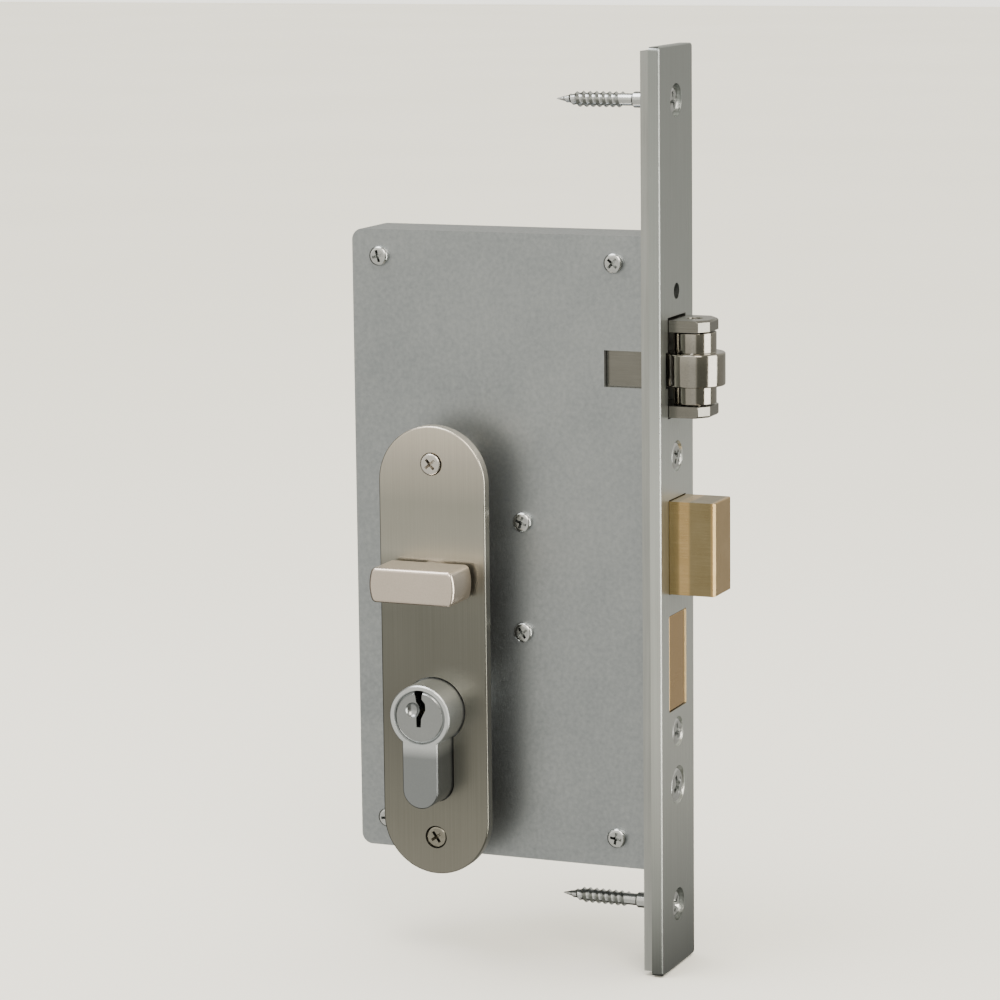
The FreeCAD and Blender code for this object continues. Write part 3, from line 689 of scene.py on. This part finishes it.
@dataclass(frozen=True)
class Screw:
    """One cross-recess screw, modelled on the Z axis with its head's face at the origin.

    Attributes:
        head: Shape of the head.
        head_r: Radius of the head.
        crest: Radius over the threads.
        length: From the head's face to the end.
        pitch: Distance between turns.
        pointed: Length of the point, or 0.
        plain: Length of shank with no thread, from the head's face.
        pan: Height of a pan head.
        drop: How far a raised countersunk head's rim lies below its crown.
        tip_r: Radius of a point's very end.
        chamfer: Chamfer of a flat end.
        rim_gap: Gap between a countersunk head's rim and its hole.
        rim_land: Height of that rim.
        dome_rings: Rings of the dome over it.
    """

    head: Head
    head_r: float
    crest: float
    length: float
    pitch: float
    pointed: float = 0.0
    plain: float = 0.0
    pan: float = 0.0
    drop: float = 0.6 * MM
    tip_r: float = 0.12 * MM
    chamfer: float = 0.4 * MM
    rim_gap: float = 0.1 * MM
    rim_land: float = 0.12 * MM
    dome_rings: int = 8

    def build(self, name: str) -> bpy.types.Object:
        """Models the screw.

        Args:
            name: The piece's name.

        Returns:
            The screw, its head towards +Z.
        """
        core = self.crest - THREAD_DEPTH * self.pitch * (WOOD_THREAD if self.pointed else 1.0)
        if self.pointed:
            foot = [(self.tip_r, -self.length), (core, -self.length + self.pointed)]
        else:
            foot = [(core - self.chamfer, -self.length), (core, -self.length + self.chamfer)]
        shank = foot + [(core, -self.plain), (self.crest, -self.plain + 0.3 * self.pitch)]
        body = lathe(name, shank + self._head_profile(), 72)
        recess = (RECESS_REACH, RECESS_WIDTH, RECESS_DEPTH)
        subtract(body, recess_blades(*(share * self.head_r for share in recess), 0.0))
        low = -self.length + (0.35 * self.pointed if self.pointed else 0.3 * MM)
        ridge = helix_ridge("ridge", core - 0.05 * MM, self.crest, low, -self.plain - 0.6 * self.pitch,
                            self.pitch)
        if self.pointed:
            self._taper(ridge)
        return join(name, [body, ridge])

    def _head_profile(self) -> list[tuple[float, float]]:
        """Gives the head's rings.

        Returns:
            Radius and height of each ring, from the shank up.
        """
        if self.head is Head.PAN:
            base = -self.pan
            rim = rounded(self.head_r, 0.0, 0.55 * self.pan, True, 6)
            return [(self.crest, base), (self.head_r, base)] + rim
        rim_r = self.head_r - self.rim_gap
        neck = -(self.drop + rim_r - self.crest)
        crown = 3.2 * self.drop
        widest = math.acos(1.0 - self.drop / crown)
        flat = rim_r - crown * math.sin(widest)
        turns = [widest * (1 - i / (self.dome_rings - 1)) for i in range(self.dome_rings)]
        dome = [(flat + crown * math.sin(t), crown * (math.cos(t) - 1)) for t in turns]
        return [(self.crest, neck), (rim_r, -self.drop - self.rim_land)] + dome

    def _taper(self, ridge: bpy.types.Object) -> None:
        """Draws the thread in towards the point.

        Args:
            ridge: The thread, still at its full radius all along.
        """
        mesh = in_edit(ridge)
        for vert in mesh.verts:
            share = min(1.0, max(0.12, (vert.co.z + self.length) / self.pointed))
            vert.co.x *= share
            vert.co.y *= share
        bmesh.update_edit_mesh(ridge.data)
        bpy.ops.object.mode_set(mode="OBJECT")


@dataclass
class Screws:
    """Every screw of the lock, in place of the plain ones of the frame."""

    wood: Screw = Screw(Head.COUNTERSUNK, 3.9 * MM, 2.1 * MM, 32 * MM, 1.8 * MM, 6 * MM, 11 * MM)
    faceplate: Screw = Screw(Head.COUNTERSUNK, 3.8 * MM, 2.0 * MM, 12 * MM, 0.7 * MM, plain=3.2 * MM)
    cylinder: Screw = Screw(Head.COUNTERSUNK, 4.8 * MM, 2.5 * MM, 64 * MM, 0.8 * MM, plain=44 * MM)
    escutcheon: Screw = Screw(Head.COUNTERSUNK, 2.85 * MM, 1.97 * MM, 27 * MM, 0.7 * MM, plain=4.2 * MM,
                              drop=0.22 * MM)
    cover: Screw = Screw(Head.PAN, 2.7 * MM, 1.5 * MM, 9.4 * MM, 0.5 * MM, plain=3.4 * MM, pan=1.7 * MM)

    def build(self) -> None:
        """Models every screw and puts it where its CAD solid is."""
        out, front = Vector((1, 0, 0)), Vector((0, -1, 0))
        jobs = (
            ("wood_screws", self.wood, out, "zinc_steel", (ZINC_SCREW,) * 2, (18, -31)),
            ("faceplate_screws", self.faceplate, out, "zinc_steel", (ZINC_SCREW,) * 2, (52, 12)),
            ("cylinder_screw", self.cylinder, out, "zinc_steel", (ZINC_SCREW,), (27,)),
            ("escutcheon_screws", self.escutcheon, front, "satin_nickel", (NICKEL_SCREW, SHADED_SCREW),
             (40, 35)),
            ("cover_screws", self.cover, front, "zinc_steel", (ZINC_SCREW,) * 6, (15, 48, 70, 33, 5, 81)),
        )
        for node, screw, way, slot, finishes, spins in jobs:
            heads = head_places(node, way)
            model = screw.build(node + "_model")
            for number, (place, finish, spin) in enumerate(zip(heads, finishes, spins), 1):
                piece = model.copy()
                piece.data = model.data.copy()
                piece.name = f"{node}_{number}"
                bpy.context.scene.collection.objects.link(piece)
                put(piece, place, way, spin)
                finish_piece(piece, "lock", node, finish, 38.0)
            bpy.data.objects.remove(model)


def head_places(node: str, way: Vector) -> list[Vector]:
    """Finds the middle of each screw head's face in a node that is a group of solids.

    Args:
        node: The CAD node.
        way: The direction the heads face.

    Returns:
        One point for each solid, from the highest to the lowest.
    """
    mesh = bmesh.new()
    mesh.from_mesh(frame["nodes"][node].data)
    bmesh.ops.remove_doubles(mesh, verts=mesh.verts, dist=1e-6)
    left, found = set(mesh.verts), []
    while left:
        island, border = set(), [left.pop()]
        while border:
            vert = border.pop()
            island.add(vert)
            for edge in vert.link_edges:
                other = edge.other_vert(vert)
                if other in left:
                    left.discard(other)
                    border.append(other)
        low = Vector(min(v.co[k] for v in island) for k in range(3))
        high = Vector(max(v.co[k] for v in island) for k in range(3))
        middle = (low + high) / 2
        face = max(v.co.dot(way) for v in island)
        found.append(middle + way * (face - middle.dot(way)))
    mesh.free()
    return sorted(found, key=lambda p: (-round(p.z, 4), p.x))


@dataclass
class RollerBolt:
    """The turned roller between the carriage's cheeks.

    Attributes:
        band_r: Radius of the middle band.
        end_r: Radius of the shoulders.
        bore_r: Radius of the bore.
        band: Heights of the band.
        ends: Heights of the roller's ends.
        end_rim: Rounding of the ends' rims.
        band_rim: Rounding of the band's rims.
        relief: Size of the fillet where the band rises from a shoulder.
    """

    band_r: float = 7.9 * MM
    end_r: float = 5.6 * MM
    bore_r: float = 2.06 * MM
    band: tuple[float, float] = (86.2 * MM, 94.8 * MM)
    ends: tuple[float, float] = (81.5 * MM, 100.1 * MM)
    end_rim: float = 0.25 * MM
    band_rim: float = 0.45 * MM
    relief: float = 0.15 * MM

    def build(self) -> None:
        """Turns the roller with rounded rims and a bore for its axle."""
        low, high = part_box("roller")
        axis = (low + high) / 2
        profile = rounded(self.end_r, self.ends[0], self.end_rim, False)
        profile += [(self.end_r, self.band[0] - self.relief), (self.end_r + self.relief, self.band[0])]
        profile += rounded(self.band_r, self.band[0], self.band_rim, False)
        profile += rounded(self.band_r, self.band[1], self.band_rim, True)
        profile += [(self.end_r + self.relief, self.band[1]), (self.end_r, self.band[1] + self.relief)]
        profile += rounded(self.end_r, self.ends[1], self.end_rim, True)
        piece = lathe("turned_roller", profile, 128)
        bore = lathe("bore", [(self.bore_r, self.ends[0] - MM), (self.bore_r, self.ends[1] + MM)], 48)
        subtract(piece, [bore])
        put(piece, Vector((axis.x, axis.y, 0)), Vector((0, 0, 1)))
        finish_piece(piece, "roller", "roller", TURNED_STEEL)


@dataclass
class RollerSpring:
    """The wire spring between the fixed stop and the carriage; it shortens as the roller is pushed in.

    Attributes:
        wire_r: Radius of the wire.
        wire_sides: Corners round the wire.
        turns: Number of turns.
        travel: How far the carriage slides; not used.
    """

    wire_r: float = 0.6 * MM
    wire_sides: int = 12
    turns: int = 6
    travel: float = 11.5 * MM

    def build(self) -> None:
        """Winds the spring and puts it in place on the lock."""
        low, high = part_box("roller_spring")
        length = high.x - low.x
        fixed_end = Vector((low.x, (low.y + high.y) / 2, (low.z + high.z) / 2))
        coil_r = (high.z - low.z) / 2 - self.wire_r
        start_clean()
        bpy.ops.mesh.primitive_circle_add(vertices=self.wire_sides, radius=self.wire_r, fill_type="NOTHING",
                                          location=(coil_r, 0, self.wire_r), rotation=(math.pi / 2, 0, 0))
        piece = bpy.context.object
        piece.name = "coiled_spring"
        bpy.ops.object.transform_apply(location=True, rotation=True, scale=True)
        wind = piece.modifiers.new("wind", "SCREW")
        wind.axis = "Z"
        wind.angle = 2 * math.pi
        wind.iterations = self.turns
        wind.screw_offset = (length - 2 * self.wire_r) / self.turns
        wind.steps = wind.render_steps = 48
        apply_modifiers(piece)
        in_edit(piece)
        bpy.ops.mesh.select_all(action="SELECT")
        bpy.ops.mesh.fill_holes(sides=self.wire_sides)
        bpy.ops.mesh.select_all(action="SELECT")
        bpy.ops.mesh.normals_make_consistent(inside=False)
        bpy.ops.object.mode_set(mode="OBJECT")
        put(piece, fixed_end, Vector((1, 0, 0)))
        finish_piece(piece, "lock", "roller_spring", SPRING_WIRE, 60.0)
        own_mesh(piece)


@dataclass
class EasedParts:
    """The machined parts whose edges were broken by tumbling or brushing: the frame's shapes, edges rounded.

    Attributes:
        strip_edge: Rounding of the faceplate's edges.
        nose_edge: Rounding of the bolts' upright corners.
        fine_edge: Rounding of everything else.
    """

    strip_edge: float = 0.22 * MM
    nose_edge: float = 0.9 * MM
    fine_edge: float = 0.18 * MM

    def build(self) -> None:
        """Makes every eased part."""
        self._faceplate()
        self._bolts()
        self._carriage()

    def _faceplate(self) -> None:
        """Rounds the faceplate's outline."""
        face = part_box("faceplate")[1].x
        piece = cast("faceplate")
        bevel(piece, lambda e: all(abs(v.co.x - face) < ON_FACE for v in e.verts), self.strip_edge, 3)
        finish_piece(piece, "lock", "faceplate", SATIN_STAINLESS, keep_flats=True)

    def _bolts(self) -> None:
        """Rounds the bolts' noses: wide upright corners, finer ones above and below."""
        for node in ("upper_bolt", "lower_bolt"):
            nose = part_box(node)[1].x
            piece = cast(node)
            bevel(piece, lambda e, x=nose: all(abs(v.co.x - x) < ON_FACE for v in e.verts)
                  and abs(e.verts[0].co.z - e.verts[1].co.z) > 5 * MM, self.nose_edge, 6)
            bevel(piece, lambda e, x=nose: max(v.co.x for v in e.verts) > x - 2 * MM, self.fine_edge, 2)
            finish_piece(piece, node, node, FINISH_OF_NODE[node], keep_flats=True)

    def _carriage(self) -> None:
        """Rounds the cheeks' outlines."""
        piece = cast("roller_carriage")
        bevel(piece, lambda e: min(v.co.x for v in e.verts) > MM, self.fine_edge, 2)
        finish_piece(piece, "roller_bolt", "roller_carriage", GROUND_STEEL, keep_flats=True)


@dataclass
class Studio:
    """The camera, the lights and the pale floor.

    Attributes:
        aim: The point the camera looks at.
        azimuth: Degrees round from looking along +Y.
        elevation: Degrees above the horizon.
        roll: Degrees the camera leans.
        distance: From the aim to the camera.
        lens: Focal length in millimetres on a 36 mm sensor.
        floor_gap: How far the floor lies under the lock.
        pale: Strength of the light that reaches all but the gloss.
        walls: Bearings in degrees, from -Y towards +X, with the tone that gloss picks up from there.
    """

    aim: Vector = field(default_factory=lambda: Vector((-0.0451, -0.0117, 0.0551)))
    azimuth: float = 22.5
    elevation: float = 9.6
    roll: float = -0.64
    distance: float = 1.005
    lens: float = 138.1
    floor_gap: float = 0.4 * MM
    pale: float = 2.9
    walls: tuple[tuple[float, str], ...] = (
        (-180, "#b4b2aa"),
        (-152, "#aeaca4"),
        (-146, "#504f49"),
        (-60, "#504f49"),
        (-53, "#f0ede4"),
        (-40, "#f0ede4"),
        (-34, "#e6e3d8"),
        (-6, "#e6e3d8"),
        (0, "#edebe2"),
        (20, "#edebe2"),
        (28, "#7a7a70"),
        (115, "#7a7a70"),
        (120, "#b4b2aa"),
        (180, "#b4b2aa"),
    )

    def build(self) -> None:
        """Makes the camera, the floor, the lights and the surroundings."""
        self._camera()
        self._floor()
        self._surroundings()
        self._lights()

    def _camera(self) -> None:
        """Makes the camera and makes it the scene's own."""
        turn, tilt, lean = (math.radians(v) for v in (self.azimuth, self.elevation, self.roll))
        back = Vector((math.sin(turn) * math.cos(tilt), -math.cos(turn) * math.cos(tilt), math.sin(tilt)))
        right = Vector((math.cos(turn), math.sin(turn), 0.0))
        up = back.cross(right)
        across = right * math.cos(lean) + up * math.sin(lean)
        upward = up * math.cos(lean) - right * math.sin(lean)
        data = bpy.data.cameras.new("camera")
        data.sensor_width = 36.0
        data.lens = self.lens
        data.clip_start, data.clip_end = 0.05, 20.0
        camera = bpy.data.objects.new("camera", data)
        bpy.context.scene.collection.objects.link(camera)
        place = Matrix((across, upward, back)).transposed().to_4x4()
        place.translation = self.aim + back * self.distance
        camera.matrix_world = place
        bpy.context.scene.camera = camera

    def _floor(self) -> None:
        """Lays a plain pale floor just under the lock, kept out of the metal's gloss."""
        lowest = CAD_BOX[0].z
        bpy.ops.object.select_all(action="DESELECT")
        bpy.ops.mesh.primitive_plane_add(size=12.0, location=(0.0, 0.0, lowest - self.floor_gap))
        floor = bpy.context.object
        floor.name = "floor"
        material = bpy.data.materials.new("pale_paper_floor")
        material.use_nodes = True
        tree = material.node_tree
        shader = tree.nodes["Principled BSDF"]
        place = add_node(tree, "TexCoord").outputs["Object"]
        noise = add_node(tree, "TexNoise", {"Vector": place, "Scale": 3.0})
        colour = ramp(tree, noise.outputs["Fac"], ((0.3, "#ece9df"), (0.7, "#efece3")))
        tree.links.new(colour, shader.inputs["Base Color"])
        shader.inputs["Roughness"].default_value = 0.9
        floor.data.materials.append(material)
        floor.visible_glossy = False

    def _surroundings(self) -> None:
        """Fills the room with soft light. Gloss picks up the walls; the rest sees one even pale tone."""
        world = bpy.data.worlds.new("studio")
        bpy.context.scene.world = world
        world.use_nodes = True
        tree = world.node_tree
        even = tree.nodes["Background"]
        even.inputs["Color"].default_value = linear("#e9e6dc")
        even.inputs["Strength"].default_value = self.pale
        toward = add_node(tree, "SeparateXYZ", {"Vector": add_node(tree, "TexCoord").outputs["Generated"]})
        ahead = add_node(tree, "Math", {0: toward.outputs["Y"], 1: -1.0}, operation="MULTIPLY")
        bearing = add_node(tree, "Math", {0: toward.outputs["X"], 1: ahead.outputs[0]}, operation="ARCTAN2")
        share = add_node(tree, "MapRange", {"Value": bearing.outputs[0], "From Min": -math.pi,
                                            "From Max": math.pi})
        stops = [((angle + 180) / 360, tone) for angle, tone in self.walls]
        walls = ramp(tree, share.outputs["Result"], stops)
        rise = add_node(tree, "MapRange", {"Value": toward.outputs["Z"], "From Min": -0.05, "From Max": 0.12,
                                           "To Min": 1.0, "To Max": 1.6})
        room = add_node(tree, "Background", {"Color": walls, "Strength": rise.outputs["Result"]})
        mirrored = add_node(tree, "LightPath").outputs["Is Glossy Ray"]
        mixed = add_node(tree, "MixShader", {0: mirrored, 1: even.outputs[0], 2: room.outputs[0]})
        tree.links.new(mixed.outputs[0], tree.nodes["World Output"].inputs["Surface"])

    def _lights(self) -> None:
        """Hangs the soft boxes."""
        for name, place, size, power, warmth, on_floor in (
            ("key", (0.55, -0.85, 0.85), (0.5, 0.9), 9.0, "#fff6ea", True),
            ("top", (-0.35, -0.25, 0.9), (0.6, 0.6), 6.0, "#ffffff", True),
            ("side", (1.05, 0.0, 0.05), (0.74, 1.3), 20.0, "#fffcf2", False),
        ):
            data = bpy.data.lights.new(name, "AREA")
            data.shape = "RECTANGLE"
            data.size, data.size_y = size
            data.energy = power
            data.color = linear(warmth)[:3]
            lamp = bpy.data.objects.new(name, data)
            bpy.context.scene.collection.objects.link(lamp)
            lamp.location = place
            lamp.visible_camera = False
            lamp.visible_diffuse = on_floor
            lamp.rotation_euler = (self.aim - Vector(place)).to_track_quat("-Z", "Y").to_euler()


def main() -> None:
    """Builds the studio and every piece, in order."""
    logging.basicConfig(level=logging.INFO, format="%(message)s")
    Studio().build()
    dress_frame()
    Screws().build()
    RollerBolt().build()
    RollerSpring().build()
    EasedParts().build()


if __name__ == "__main__":
    main()
